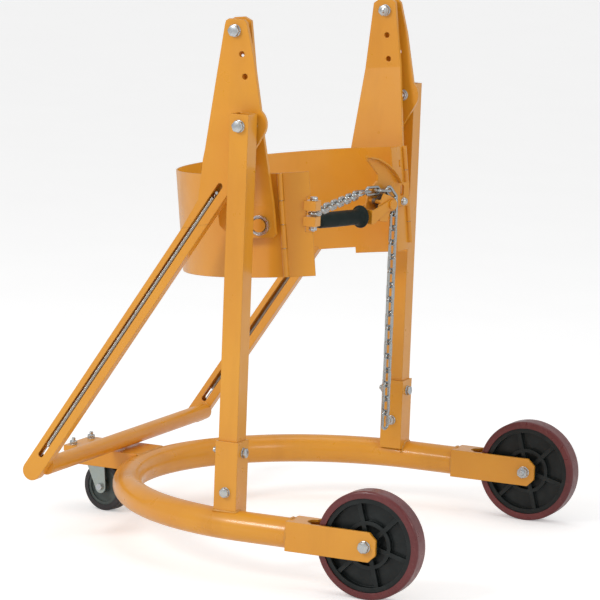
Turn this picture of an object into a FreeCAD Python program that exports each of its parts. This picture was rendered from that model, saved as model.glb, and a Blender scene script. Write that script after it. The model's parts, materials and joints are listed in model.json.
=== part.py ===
import FreeCAD, Part
import math
import os

# Mobile drum carrier: a horseshoe base on two big wheels and a caster, two uprights, a foot-operated
# lever that lifts two hanger plates, and a hinged steel holder closed by a ratcheted chain.
# Millimetres. +X is forward (towards the two big wheels), +Z up, and the near side is -Y.
# The design is laid out with x = 0 on the uprights, and every solid is moved by X_SHIFT when it is
# written, so that the written part has its origin on the floor under the middle of its own box.

V = FreeCAD.Vector
X_AXIS, Y_AXIS, Z_AXIS = V(1, 0, 0), V(0, 1, 0), V(0, 0, 1)
SIDES = (("near", -1), ("far", 1))
X_SHIFT = 69.2
RUN_GAP = 0.05           # radial clearance of a running fit
FREE_GAP = 0.4           # gap between bodies that pass each other
SNUG = 0.02              # radial clearance of a bolt or pin held fast
FLATS, HEAD_HEIGHT, NUT_HEIGHT = 3.3, 1.3, 1.6    # hexagons, in shank radii

# Base
WHEEL_R, WHEEL_WIDTH, WHEEL_X, TRACK_Y = 101.6, 40.0, 294.0, 403.0
BASE_Z = WHEEL_R
RING_OD, RING_WALL, RING_X = 57.0, 3.2, 36.0
FORK_REAR, FORK_TIP, FORK_THROAT = 134.0, 316.0, 180.0
FORK_HALF_W, FORK_PLATE, FORK_H = 30.0, 6.0, 56.0
AXLE_R, HUB_SLEEVE_R, HUB_R, TREAD_INNER_R = 6.0, 13.0, 20.0, 88.0

# Uprights and their sockets
POST, POST_WALL, POST_Y, POST_TOP = 38.0, 3.0, 391.0, 871.0
SOCKET, SOCKET_WALL, SOCKET_BOTTOM, SOCKET_TOP = 46.0, 3.7, 118.0, 260.0
LATERAL_BOLT_Z = {"near": 164.0, "far": 177.0}
FORE_AFT_BOLT_Z = 238.0
SOCKET_BOLT_R = 5.0

# Lever: plates, arms and cross tube, turning on the uprights at P and carrying the hangers at T
P_Z, T_X, T_Z = 849.0, -36.0, 1019.5
PLATE_OUT, PLATE_IN = 365.0, 357.0
ARM_IN, ARM_WALL, ARM_ANGLE, ARM_DEPTH, ARM_BELOW_P = 345.0, 3.0, 33.3, 38.0, 2.5
BOSS_R, ADJUST_HOLE_R = 34.0, 5.6
ADJUST_HOLES = ((-20.5, 977.0), (-12.6, 936.0))
ARM_START, ARM_LENGTH = 112.0, 848.0    # from abreast of P to the arm's rounded tip
SLOT_START, INNER_SLOT_START, SLOT_END, SLOT_DEPTH = 131.0, 180.0, 790.0, 16.5
PEG_R, UPPER_PEG, LOWER_PEG = 3.0, 148.0, 812.0
PIVOT_R = 6.0
CROSS_X, CROSS_Z, CROSS_R, CROSS_WALL = -416.0, 152.0, 16.5, 3.0
DRAIN_R = 3.0            # drain hole in the middle of the cross tube's underside
SLOT_W = 11.0
SPRING_R, SPRING_WIRE_R = 5.0, 1.4

# Hangers: local frame with T at the origin and the axis straight down, then tilted
HANG_TILT = -6.5
HANGER_TOP_OUT, HANGER_LOW_OUT, HANGER_T = 342.0, 313.0, 8.0
TRUNNION_DOWN, TRUNNION_R, TRUNNION_RING_R = 366.0, 13.0, 19.0
LOCK_HOLE_BACK, LOCK_HOLE_R = 60.0, 12.0

# Holder, in the same local frame
BAND_R, SHEET, BAND_TOP, BAND_BOTTOM, FAR_DROP = 291.5, 2.7, -271.5, -467.0, -485.0
BARREL_R, HINGE_PIN_R = 5.5, 3.0
HINGE_EDGE, FAR_HINGE_EDGE = 0.6, 0.85    # degrees of sheet left out beside a hinge's axis
NEAR_HINGE_DEG, FAR_HINGE_DEG = -83.0, 82.0
NEAR_FLAP_END, FAR_FLAP_END = -72.0, 71.5
FAR_FLAP_SWUNG = -80.0   # the far flap rests swung in, drawn by the ratchet's weight
SEAMS_NEAR = (-323.0, -368.0, -413.0)
SEAMS_FAR = (-320.0, -372.0, -424.0)

# Chain
PITCH, WIRE_R, LINK_SLACK, LINK_HALF_W = 28.8, 3.0, 1.4, 7.4
CLEVIS = V(95, -273, 682)
CLEVIS_BOLT_R, CLEVIS_GAP, CLEVIS_EAR = 4.0, 5.5, 24.0
RATCHET = V(46, 180, 650)
RATCHET_TURN = 70.0      # about Z, from X to the ratchet's own outward direction
WRAP_R = 27.0
SPROCKET_R, GROOVE_R, RATCHET_PIN_R = 17.0, 12.5, 6.0
CHEEK_IN, CHEEK_OUT = 13.0, 18.0
PAWL_X, PAWL_Z, PAWL_PIN_R = -28.0, 6.0, 4.0
LINK_BOLT_X, LINK_BOLT_Z, LINK_BOLT_R, FLAP_PAD_BACK = 69.0, -2.0, 5.0, 36.0
HANDLE_DROP, HANDLE_CORE_R, GRIP_R, GRIP_FLANGE_R = 22.0, 8.0, 15.5, 22.5
GRIP_START, GRIP_END = 66.0, 190.0
RUN_LINKS, TAIL_LINKS, RUN_STOP = 13, 14, 60.0

# Caster
CASTER_X, CASTER_R, CASTER_W, TRAIL, CASTER_TURN = -482.0, 50.0, 32.0, 25.0, -12.0
BRACKET_TOP, BRACKET_T, BRACKET_HALF_W, BRACKET_LOW = 132.0, 6.0, 55.0, 97.0
BRACKET_REAR = -534.0
BOLT_PITCH = 38.0


# ---- helpers ----------------------------------------------------------------------------------

def box(x0, x1, y0, y1, z0, z1):
    low = V(min(x0, x1), min(y0, y1), min(z0, z1))
    return Part.makeBox(abs(x1 - x0), abs(y1 - y0), abs(z1 - z0), low)


def rod(start, end, radius):
    return Part.makeCylinder(radius, (end - start).Length, start, end - start)


def tube(start, end, outer, inner):
    return rod(start, end, outer).cut(rod(start, end, inner))


def fuse(shapes):
    whole = shapes[0]
    for shape in shapes[1:]:
        whole = whole.fuse(shape)
    return whole.removeSplitter()


def cut(shape, tools):
    for tool in tools:
        shape = shape.cut(tool)
    return shape


def group(shapes):
    solids = []
    for shape in shapes:
        solids.extend(shape.Solids)
    return Part.makeCompound(solids)


def mirrored(shape):
    return shape.mirror(V(0, 0, 0), Y_AXIS)


def for_side(shape, side):
    """A shape made for the far side (+Y), or its mirror image for the near side."""
    return shape if side > 0 else mirrored(shape)


def turned(shape, centre, axis, degrees):
    copy = shape.copy()
    copy.rotate(centre, axis, degrees)
    return copy


def upright_plate(points, y0, y1):
    """A plate standing in the XZ plane, from an outline of (x, z) points."""
    corners = [V(x, y0, z) for x, z in points]
    face = Part.Face(Part.makePolygon(corners + corners[:1]))
    return face.extrude(V(0, y1 - y0, 0))


def arc_points(cx, cz, radius, start, end, steps):
    span = [start + (end - start) * i / steps for i in range(steps + 1)]
    return [(cx + radius * math.cos(math.radians(a)), cz + radius * math.sin(math.radians(a)))
            for a in span]


def hexagon(centre, direction, flats, height):
    """A hexagonal prism standing on centre along direction."""
    prism = Part.makeCylinder(flats / math.sqrt(3), height)
    keep = prism
    for angle in (0, 60, 120):
        slab = box(-flats, flats, -flats / 2, flats / 2, 0, height)
        keep = keep.common(turned(slab, V(0, 0, 0), Z_AXIS, angle))
    keep.Placement = FreeCAD.Placement(centre, FreeCAD.Rotation(Z_AXIS, direction))
    return keep


def bolt(start, end, radius):
    """A hex-head bolt: the head's bearing face is at start and the shank's tip is at end."""
    direction = end - start
    direction.normalize()
    height = radius * HEAD_HEIGHT
    hex_head = hexagon(start - direction * height, direction, radius * FLATS, height)
    return fuse([hex_head, rod(start - direction * 0.5, end, radius)])


def nut(centre, direction, radius):
    """A hex nut standing on centre along direction, on a shank of the given radius."""
    height = radius * NUT_HEIGHT
    prism = hexagon(centre, direction, radius * FLATS, height)
    return prism.cut(rod(centre, centre + direction * height, radius + SNUG))


def washer(centre, direction, inner, outer, thickness):
    return tube(centre, centre + direction * thickness, outer, inner)


def hang(shape):
    """From the hangers' own upright frame to the frame of the part."""
    shape.translate(V(T_X, 0, T_Z))
    return turned(shape, V(T_X, 0, T_Z), Y_AXIS, HANG_TILT)


def in_ratchet(shape):
    """From the ratchet's frame (pin at the origin, X towards the flap) to the frame of the part."""
    shape.rotate(V(0, 0, 0), Z_AXIS, RATCHET_TURN)
    shape.translate(RATCHET)
    return shape


def in_caster(shape):
    """The caster is drawn trailing along +X, then swivelled about its kingpin."""
    return turned(shape, V(CASTER_X, 0, 0), Z_AXIS, CASTER_TURN)


# ---- base -------------------------------------------------------------------------------------

def ring_solid(radius, leg_end):
    """Half a torus round the back with a straight leg forward on each side."""
    rear = Part.makeTorus(TRACK_Y, radius, V(RING_X, 0, BASE_Z), Z_AXIS)
    rear = rear.common(box(RING_X - 600, RING_X, -600, 600, 0, 300))
    legs = [rod(V(RING_X, side * TRACK_Y, BASE_Z), V(leg_end, side * TRACK_Y, BASE_Z), radius)
            for _, side in SIDES]
    return fuse([rear] + legs)


def ring_outside():
    return ring_solid(RING_OD / 2, FORK_REAR)


def base_ring():
    return ring_outside().cut(ring_solid(RING_OD / 2 - RING_WALL, FORK_REAR))


def wheel_fork():
    """Two plates joined by a short box, notched behind the wheel and bored for the axle."""
    half = FORK_H / 2
    tip = 14.0
    side_outline = [(FORK_REAR, -half), (FORK_TIP - tip, -half), (FORK_TIP, -half + tip),
                    (FORK_TIP, half - tip), (FORK_TIP - tip, half), (FORK_REAR, half)]
    side_outline = [(x, BASE_Z + z) for x, z in side_outline]
    inner = FORK_HALF_W - FORK_PLATE
    plates = [upright_plate(side_outline, TRACK_Y - FORK_HALF_W, TRACK_Y - inner),
              upright_plate(side_outline, TRACK_Y + inner, TRACK_Y + FORK_HALF_W)]
    walls = [box(FORK_REAR, FORK_THROAT, TRACK_Y - inner, TRACK_Y + inner, BASE_Z + s * half,
                 BASE_Z + s * (half - 5)) for s in (-1, 1)]
    back = box(FORK_REAR, FORK_REAR + 5, TRACK_Y - inner, TRACK_Y + inner, BASE_Z - half, BASE_Z + half)
    notch = Part.makeCylinder(18, 2 * half + 2, V(FORK_THROAT + 5, TRACK_Y, BASE_Z - half - 1), Z_AXIS)
    body = fuse(plates + walls + [back]).cut(notch)
    hole = rod(V(WHEEL_X, TRACK_Y - 40, BASE_Z), V(WHEEL_X, TRACK_Y + 40, BASE_Z), AXLE_R + 0.1)
    return body.cut(hole)


def socket(name):
    half = SOCKET / 2
    inner = half - SOCKET_WALL
    shape = box(-half, half, POST_Y - half, POST_Y + half, SOCKET_BOTTOM, SOCKET_TOP)
    shape = shape.cut(box(-inner, inner, POST_Y - inner, POST_Y + inner, 0, SOCKET_TOP + 1))
    return cut(shape, [ring_outside()] + post_bolt_holes(name))


def post_bolt_holes(name):
    lateral, fore_aft = LATERAL_BOLT_Z[name], FORE_AFT_BOLT_Z
    radius = SOCKET_BOLT_R + 0.2
    return [rod(V(0, POST_Y - 40, lateral), V(0, POST_Y + 40, lateral), radius),
            rod(V(-40, POST_Y, fore_aft), V(40, POST_Y, fore_aft), radius)]


def post(name):
    half, inner = POST / 2, POST / 2 - POST_WALL
    shape = box(-half, half, POST_Y - half, POST_Y + half, SOCKET_BOTTOM + 16, POST_TOP)
    shape = shape.cut(box(-inner, inner, POST_Y - inner, POST_Y + inner, 0, POST_TOP + 1))
    pivot = rod(V(0, POST_Y - 40, P_Z), V(0, POST_Y + 40, P_Z), PIVOT_R + 0.1)
    return cut(shape, post_bolt_holes(name) + [pivot])


def socket_bolts(name):
    """The two through bolts of one socket, with their nuts."""
    half = SOCKET / 2
    lateral, fore_aft = LATERAL_BOLT_Z[name], FORE_AFT_BOLT_Z
    across = bolt(V(0, POST_Y + half, lateral), V(0, POST_Y - half - 12, lateral), SOCKET_BOLT_R)
    across_nut = nut(V(0, POST_Y - half, lateral), V(0, -1, 0), SOCKET_BOLT_R)
    along = bolt(V(half, POST_Y, fore_aft), V(-half - 12, POST_Y, fore_aft), SOCKET_BOLT_R)
    along_nut = nut(V(-half, POST_Y, fore_aft), V(-1, 0, 0), SOCKET_BOLT_R)
    return group([across, across_nut, along, along_nut])


def caster_bracket():
    web = box(BRACKET_REAR, RING_X - TRACK_Y, -BRACKET_HALF_W, BRACKET_HALF_W,
              BRACKET_TOP - BRACKET_T, BRACKET_TOP)
    flanges = [box(BRACKET_REAR, RING_X - TRACK_Y, s * BRACKET_HALF_W, s * (BRACKET_HALF_W - BRACKET_T),
                   BRACKET_LOW, BRACKET_TOP) for s in (-1, 1)]
    rear_slope = upright_plate([(BRACKET_REAR - 1, BRACKET_LOW - 1), (BRACKET_REAR + 22, BRACKET_LOW - 1),
                                (BRACKET_REAR - 1, BRACKET_LOW + 26)], -100, 100)
    shape = fuse([web] + flanges)
    return cut(shape, [rear_slope, ring_outside()] + caster_bolt_holes())


def caster_bolt_spots():
    return [V(CASTER_X + sx * BOLT_PITCH, sy * BOLT_PITCH, 0) for sx in (-1, 1) for sy in (-1, 1)]


def caster_bolt_holes():
    return [rod(spot + V(0, 0, 100), spot + V(0, 0, 150), 4.2) for spot in caster_bolt_spots()]


def caster_plate():
    top = BRACKET_TOP - BRACKET_T
    shape = box(CASTER_X - 48, CASTER_X + 48, -48, 48, top - 4, top)
    race = Part.makeCylinder(26, 8, V(CASTER_X, 0, top - 12), Z_AXIS)
    kingpin = rod(V(CASTER_X, 0, top - 21), V(CASTER_X, 0, top - 2), 7.0)
    return cut(fuse([shape, race, kingpin]), caster_bolt_holes())


def caster_bolts():
    """Four bolts up through the caster plate and the bracket, nuts on top, threads standing up."""
    top = BRACKET_TOP - BRACKET_T
    made = []
    for spot in caster_bolt_spots():
        made.append(bolt(spot + V(0, 0, top - 4), spot + V(0, 0, BRACKET_TOP + 14), 4.0))
        made.append(nut(spot + V(0, 0, BRACKET_TOP), Z_AXIS, 4.0))
    return group(made)


# ---- caster -----------------------------------------------------------------------------------

def caster_fork():
    """Bent plate fork round the kingpin, trailing towards +X before its turn."""
    crown_z = BRACKET_TOP - BRACKET_T - 12 - FREE_GAP
    crown = Part.makeCylinder(29, 5, V(CASTER_X, 0, crown_z - 5), Z_AXIS)
    axle_x = CASTER_X + TRAIL
    crown = fuse([crown, box(CASTER_X - 20, CASTER_X + 30, -24, 24, crown_z - 5, crown_z)])
    outline = [(CASTER_X - 22, crown_z), (CASTER_X + 32, crown_z)]
    outline += arc_points(axle_x, CASTER_R, 13, 10, -170, 12)
    cheeks = [upright_plate(outline, s * 20.5, s * 24.0) for s in (-1, 1)]
    shape = fuse([crown] + cheeks)
    bore = rod(V(CASTER_X, 0, crown_z - 20), V(CASTER_X, 0, crown_z + 5), 7.0 + RUN_GAP)
    axle = rod(V(axle_x, -30, CASTER_R), V(axle_x, 30, CASTER_R), 4.1)
    return in_caster(cut(shape, [bore, axle]))


def caster_axle():
    axle_x = CASTER_X + TRAIL
    shank = bolt(V(axle_x, -24, CASTER_R), V(axle_x, 33, CASTER_R), 4.0)
    lock = nut(V(axle_x, 24, CASTER_R), Y_AXIS, 4.0)
    spacers = [tube(V(axle_x, s * 20.5, CASTER_R), V(axle_x, s * 17.2, CASTER_R), 9, 4.02) for s in (-1, 1)]
    return in_caster(group([shank, lock] + spacers))


def caster_wheel_core():
    axle_x = CASTER_X + TRAIL
    half = CASTER_W / 2
    disc = rod(V(axle_x, -half + 6, CASTER_R), V(axle_x, half - 6, CASTER_R), 38)
    rim = tube(V(axle_x, -half + 2, CASTER_R), V(axle_x, half - 2, CASTER_R), 38, 32)
    hub = rod(V(axle_x, -half - 0.8, CASTER_R), V(axle_x, half + 0.8, CASTER_R), 13)
    bore = rod(V(axle_x, -30, CASTER_R), V(axle_x, 30, CASTER_R), 4.0 + RUN_GAP)
    return in_caster(fuse([disc, rim, hub]).cut(bore))


def caster_tyre():
    axle_x = CASTER_X + TRAIL
    half = CASTER_W / 2
    ring = tube(V(axle_x, -half, CASTER_R), V(axle_x, half, CASTER_R), CASTER_R, 38)
    edges = [edge for edge in ring.Edges if abs(edge.Length - 2 * math.pi * CASTER_R) < 1]
    return in_caster(ring.makeFillet(5.0, edges))


# ---- big wheels -------------------------------------------------------------------------------

def wheel_hub():
    """Cast centre: a web with six ribs on each face, a rim under the tread and a long hub."""
    half = WHEEL_WIDTH / 2
    centre = V(WHEEL_X, TRACK_Y, BASE_Z)

    def lane(offset):
        return centre + V(0, offset, 0)

    web = rod(lane(-4), lane(4), TREAD_INNER_R - 2)
    rim = tube(lane(-half + 3), lane(half - 3), TREAD_INNER_R, TREAD_INNER_R - 9)
    ring = tube(lane(-half + 6), lane(half - 6), 45, 38)
    hub = rod(lane(-half), lane(half), HUB_R)
    ribs = []
    for index in range(6):
        rib = box(WHEEL_X + HUB_R - 3, WHEEL_X + TREAD_INNER_R - 6, TRACK_Y - half + 6, TRACK_Y + half - 6,
                  BASE_Z - 4, BASE_Z + 4)
        ribs.append(turned(rib, centre, Y_AXIS, 60 * index + 15))
    shape = fuse([web, rim, ring, hub] + ribs)
    return shape.cut(rod(lane(-30), lane(30), HUB_SLEEVE_R))


def wheel_tread():
    half = WHEEL_WIDTH / 2
    start, end = V(WHEEL_X, TRACK_Y - half, BASE_Z), V(WHEEL_X, TRACK_Y + half, BASE_Z)
    ring = tube(start, end, WHEEL_R, TREAD_INNER_R)
    edges = [edge for edge in ring.Edges if abs(edge.Length - 2 * math.pi * WHEEL_R) < 1]
    return ring.makeFillet(5.0, edges)


def wheel_bushing():
    """Bearing sleeve pressed into the hub, a little longer than it, running on the axle bolt."""
    reach = FORK_HALF_W - FORK_PLATE - 2.5
    return tube(V(WHEEL_X, TRACK_Y - reach, BASE_Z), V(WHEEL_X, TRACK_Y + reach, BASE_Z),
                HUB_SLEEVE_R, AXLE_R + RUN_GAP)


def axle_set():
    """Axle bolt with its head outside, two washers inside the fork and the nut inside the track."""
    outer = TRACK_Y + FORK_HALF_W
    inner = TRACK_Y - FORK_HALF_W
    shank = bolt(V(WHEEL_X, outer, BASE_Z), V(WHEEL_X, inner - 12, BASE_Z), AXLE_R)
    lock = nut(V(WHEEL_X, inner, BASE_Z), V(0, -1, 0), AXLE_R)
    rings = [washer(V(WHEEL_X, TRACK_Y + s * 24, BASE_Z), V(0, -s, 0), AXLE_R + SNUG, 12, 2.0)
             for s in (-1, 1)]
    return group([shank, lock] + rings)


# ---- lever ------------------------------------------------------------------------------------

ARM_DIR = V(-math.sin(math.radians(ARM_ANGLE)), 0, -math.cos(math.radians(ARM_ANGLE)))
ARM_FRONT = V(math.cos(math.radians(ARM_ANGLE)), 0, -math.sin(math.radians(ARM_ANGLE)))


def arm_point(along, below):
    """A point of the lever's plane: along the arm from P, and below its upper edge."""
    return V(0, 0, P_Z) + ARM_DIR * along + ARM_FRONT * (ARM_BELOW_P + below)


def arm_bar(start, end, top, low, y0, y1):
    corners = [arm_point(start, top), arm_point(end, top), arm_point(end, low), arm_point(start, low)]
    return upright_plate([(c.x, c.z) for c in corners], y0, y1)


def spring_spot(along):
    """A point on the middle line of the arm's slot, where the spring lies."""
    return arm_point(along, SLOT_DEPTH)


def slot_cut(start, end, y0, y1):
    bar = arm_bar(start, end, SLOT_DEPTH - SLOT_W / 2, SLOT_DEPTH + SLOT_W / 2, y0, y1)
    ends = []
    for along in (start, end):
        spot = spring_spot(along)
        ends.append(rod(V(spot.x, y0, spot.z), V(spot.x, y1, spot.z), SLOT_W / 2))
    return fuse([bar] + ends)


def lever_outline():
    joint_top, joint_low = arm_point(245, 0), arm_point(205, ARM_DEPTH)
    knee = arm_point(138, ARM_DEPTH)
    rear = [(-57, 1029), (-71.5, 926), (-89.5, 794.5), (-93, 776), (-100, 700)]
    boss = arc_points(0, P_Z, BOSS_R, 50, -32, 12)
    top = [(-13, 1035), (-19, 1041), (-49, 1041), (-55, 1037)]
    return ([(joint_top.x, joint_top.z)] + [(joint_low.x, joint_low.z), (knee.x, knee.z)] + boss[::-1] +
            [(3.5, 973)] + top + rear)


def lever_holes():
    holes = [rod(V(0, 340, P_Z), V(0, 380, P_Z), PIVOT_R + RUN_GAP),
             rod(V(T_X, 340, T_Z), V(T_X, 380, T_Z), PIVOT_R + SNUG)]
    for x, z in ADJUST_HOLES:
        holes.append(rod(V(x, 340, z), V(x, 380, z), ADJUST_HOLE_R))
    return holes


def lever_plate():
    plate = upright_plate(lever_outline(), PLATE_IN, PLATE_OUT)
    return cut(plate, lever_holes() + [slot_cut(SLOT_START, SLOT_END, PLATE_IN - 1, PLATE_OUT + 1)])


def lever_arm():
    """Rectangular tube with a long slot right through it; the lever plate closes its upper end."""
    nose_at = ARM_LENGTH - ARM_DEPTH / 2
    outer = arm_bar(ARM_START, nose_at, 0, ARM_DEPTH, ARM_IN, PLATE_OUT)
    inner = arm_bar(ARM_START + 4, nose_at, ARM_WALL, ARM_DEPTH - ARM_WALL,
                    ARM_IN + ARM_WALL, PLATE_OUT - ARM_WALL)
    spot = arm_point(nose_at, ARM_DEPTH / 2)
    nose = rod(V(spot.x, ARM_IN, spot.z), V(spot.x, PLATE_OUT, spot.z), ARM_DEPTH / 2)
    nose_core = rod(V(spot.x, ARM_IN + ARM_WALL, spot.z), V(spot.x, PLATE_OUT - ARM_WALL, spot.z),
                    ARM_DEPTH / 2 - ARM_WALL)
    shell = cut(fuse([outer, nose]), [inner, nose_core])
    plate_space = upright_plate(lever_outline(), PLATE_IN, PLATE_OUT + 1)
    boss = rod(V(0, 340, P_Z), V(0, PLATE_IN, P_Z), 22)
    slots = [slot_cut(SLOT_START, SLOT_END, PLATE_IN - 1, PLATE_OUT + 1),
             slot_cut(INNER_SLOT_START, SLOT_END, ARM_IN - 1, PLATE_IN)]
    pegs = [spring_peg_hole(UPPER_PEG), spring_peg_hole(LOWER_PEG)]
    return cut(shell, slots + pegs + [plate_space, boss])


def spring_peg_hole(along):
    spot = spring_spot(along)
    return rod(V(spot.x, ARM_IN - 1, spot.z), V(spot.x, ARM_IN + ARM_WALL + 1, spot.z), PEG_R)


def spring_pegs():
    """Cross pegs that hold the two ends of the arm's spring."""
    pegs = []
    for along in (UPPER_PEG, LOWER_PEG):
        spot = spring_spot(along)
        pegs.append(rod(V(spot.x, ARM_IN, spot.z), V(spot.x, PLATE_OUT - 6, spot.z), PEG_R))
    return group(pegs)


def arm_spring():
    """Body of the long extension spring, a closed cylinder, with a wire to the lower peg."""
    y = PLATE_IN - 0.4
    top, low, peg = spring_spot(UPPER_PEG + 10), spring_spot(LOWER_PEG - 46), spring_spot(LOWER_PEG - 9)
    coil = rod(V(top.x, y, top.z), V(low.x, y, low.z), SPRING_R)
    wire = rod(V(low.x, y, low.z), V(peg.x, y, peg.z), SPRING_WIRE_R)
    return fuse([coil, wire])


def cross_tube():
    """Tube welded between the feet of the two arms, with closed ends and one drain hole below."""
    outer = rod(V(CROSS_X, -ARM_IN, CROSS_Z), V(CROSS_X, ARM_IN, CROSS_Z), CROSS_R)
    reach = ARM_IN - CROSS_WALL
    inner = rod(V(CROSS_X, -reach, CROSS_Z), V(CROSS_X, reach, CROSS_Z), CROSS_R - CROSS_WALL)
    drain = rod(V(CROSS_X, 0, CROSS_Z - CROSS_R - 1), V(CROSS_X, 0, CROSS_Z), DRAIN_R)
    return cut(outer, [inner, drain])


def pivot_bolt():
    """Bolt through the upright on which the lever turns, with its washer stack against the post."""
    outer = POST_Y + POST / 2
    inner = POST_Y - POST / 2
    shank = bolt(V(0, outer, P_Z), V(0, PLATE_IN - 11, P_Z), PIVOT_R)
    spacer = tube(V(0, PLATE_OUT + 0.3, P_Z), V(0, inner, P_Z), 17, PIVOT_R + SNUG)
    return group([shank, spacer])


def pivot_nut():
    return nut(V(0, PLATE_IN - 0.3, P_Z), V(0, -1, 0), PIVOT_R).common(box(-30, 30, 347, 360, 800, 900))


def top_bolt():
    """Bolt on which a hanger swings, with the spacer between lever plate and hanger."""
    shank = bolt(V(T_X, PLATE_OUT, T_Z), V(T_X, HANGER_TOP_OUT - HANGER_T - 13, T_Z), PIVOT_R)
    spacer = tube(V(T_X, HANGER_TOP_OUT + 0.3, T_Z), V(T_X, PLATE_IN, T_Z), 14, PIVOT_R + SNUG)
    return group([shank, spacer])


def top_nut():
    return nut(V(T_X, HANGER_TOP_OUT - HANGER_T - 0.3, T_Z), V(0, -1, 0), PIVOT_R)


# ---- hangers ----------------------------------------------------------------------------------

def hanger():
    """Joggled plate hung from T: narrow at the top, flared towards the trunnion."""
    low = -390.0
    outline = [(-24, 16), (-10, 24), (10, 24), (23, 16), (30, low + 6), (24, low), (-60, low),
               (-85, low + 26), (-88, -285)]
    upper, lower = HANGER_TOP_OUT, HANGER_LOW_OUT
    bend_top, bend_low = -112.0, -330.0
    outer = [(upper, 30), (upper, bend_top), (lower, bend_low), (lower, low - 5)]
    inner = [(upper - HANGER_T, 30), (upper - HANGER_T, bend_top - 3), (lower - HANGER_T, bend_low - 3),
             (lower - HANGER_T, low - 5)]
    section = outer + inner[::-1]
    corners = [V(-200, y, z) for y, z in section]
    joggle = Part.Face(Part.makePolygon(corners + corners[:1])).extrude(V(400, 0, 0))
    shape = joggle.common(upright_plate(outline, 200, 400))
    holes = [rod(V(0, 300, 0), V(0, 360, 0), PIVOT_R + RUN_GAP),
             rod(V(0, 300, -50), V(0, 360, -50), ADJUST_HOLE_R),
             rod(V(0, 300, -98), V(0, 360, -98), ADJUST_HOLE_R),
             rod(V(0, 280, -TRUNNION_DOWN), V(0, 340, -TRUNNION_DOWN), TRUNNION_R + RUN_GAP),
             rod(V(-LOCK_HOLE_BACK, 280, -TRUNNION_DOWN), V(-LOCK_HOLE_BACK, 340, -TRUNNION_DOWN),
                 LOCK_HOLE_R)]
    return cut(shape, holes)


# ---- holder -----------------------------------------------------------------------------------

def band_sector(start, end, top, low):
    """Part of the rolled sheet between two angles, measured from +X towards +Y."""
    outer = Part.makeCylinder(BAND_R, top - low, V(0, 0, low), Z_AXIS, end - start)
    inner = Part.makeCylinder(BAND_R - SHEET, top - low, V(0, 0, low), Z_AXIS, end - start)
    return turned(outer.cut(inner), V(0, 0, 0), Z_AXIS, start)


def hinge_spot(degrees):
    angle = math.radians(degrees)
    reach = BAND_R + 1.5
    return V(reach * math.cos(angle), reach * math.sin(angle), 0)


def knuckle(degrees, top, low):
    spot = hinge_spot(degrees)
    start, end = spot + V(0, 0, low + FREE_GAP), spot + V(0, 0, top - FREE_GAP)
    return rod(start, end, BARREL_R)


def hinge_cutters(degrees, top, low):
    """Room for the hinge pin, and for the other leaf's knuckle, over one knuckle's height."""
    spot = hinge_spot(degrees)
    return rod(spot + V(0, 0, low), spot + V(0, 0, top), BARREL_R + FREE_GAP)


def levels(seams):
    return (BAND_TOP,) + seams + (BAND_BOTTOM,)


def leaf(sheet, degrees, seams, keep):
    """A sheet with every other knuckle of a hinge: keep 0 or 1 says which ones it carries."""
    spot = hinge_spot(degrees)
    tops = levels(seams)
    shape = sheet
    for index in range(len(tops) - 1):
        top, low = tops[index], tops[index + 1]
        if index % 2 == keep:
            shape = shape.fuse(knuckle(degrees, top, low))
        else:
            shape = shape.cut(hinge_cutters(degrees, top, low))
    pin = rod(spot + V(0, 0, BAND_BOTTOM - 30), spot + V(0, 0, BAND_TOP + 5), HINGE_PIN_R + RUN_GAP)
    return shape.cut(pin).removeSplitter()


def hinge_pin(degrees):
    spot = hinge_spot(degrees)
    return rod(spot + V(0, 0, BAND_BOTTOM + 1), spot + V(0, 0, BAND_TOP - 1), HINGE_PIN_R)


def holder_band():
    """Rolled sheet round the back, reaching lower beside the far hinge, in two steps."""
    far_start, deep_end, step_end = FAR_HINGE_DEG + FAR_HINGE_EDGE, 105.0, 120.0
    back = band_sector(far_start, 360 + NEAR_HINGE_DEG - HINGE_EDGE, BAND_TOP, BAND_BOTTOM)
    deep = band_sector(far_start, deep_end, BAND_BOTTOM + 1, FAR_DROP)
    step = band_sector(deep_end - 0.5, step_end, BAND_BOTTOM + 1, BAND_BOTTOM - 6)
    sheet = fuse([back, deep, step])
    near = leaf(sheet, NEAR_HINGE_DEG, SEAMS_NEAR, 0)
    return hang(leaf(near, FAR_HINGE_DEG, SEAMS_FAR, 0))


def near_flap_panel():
    """The near flap, its free edge notched where the chain's clevis stands."""
    sheet = band_sector(NEAR_HINGE_DEG + HINGE_EDGE, NEAR_FLAP_END, BAND_TOP, BAND_BOTTOM)
    notch = box(CLEVIS.x - 12, CLEVIS.x + 40, CLEVIS.y - 40, CLEVIS.y + 40,
                CLEVIS.z - CLEVIS_EAR - 11, CLEVIS.z + CLEVIS_EAR + 8)
    return hang(leaf(sheet, NEAR_HINGE_DEG, SEAMS_NEAR, 1)).cut(notch)


def far_flap_panel():
    """The far flap, swung in about its hinge, with a small square window near its upper end."""
    sheet = band_sector(FAR_FLAP_END, FAR_HINGE_DEG - HINGE_EDGE, BAND_TOP, FAR_DROP + 6)
    window = Part.makeBox(100, 7, 13, V(BAND_R - 50, -3.5, BAND_TOP - 40))
    sheet = sheet.cut(turned(window, V(0, 0, 0), Z_AXIS, FAR_FLAP_END + 6))
    flap = leaf(sheet, FAR_HINGE_DEG, SEAMS_FAR, 1)
    return hang(turned(flap, hinge_spot(FAR_HINGE_DEG), Z_AXIS, FAR_FLAP_SWUNG))


def trunnion():
    """Pin and backing boss welded to the band on one side."""
    z = -TRUNNION_DOWN
    boss = rod(V(0, BAND_R - 6, z), V(0, HANGER_LOW_OUT - HANGER_T - 0.3, z), 20)
    pin = rod(V(0, BAND_R - 2, z), V(0, HANGER_LOW_OUT + 8, z), TRUNNION_R)
    inside = Part.makeCylinder(BAND_R, 80, V(0, 0, z - 40), Z_AXIS)
    return hang(fuse([boss, pin]).cut(inside))


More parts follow.
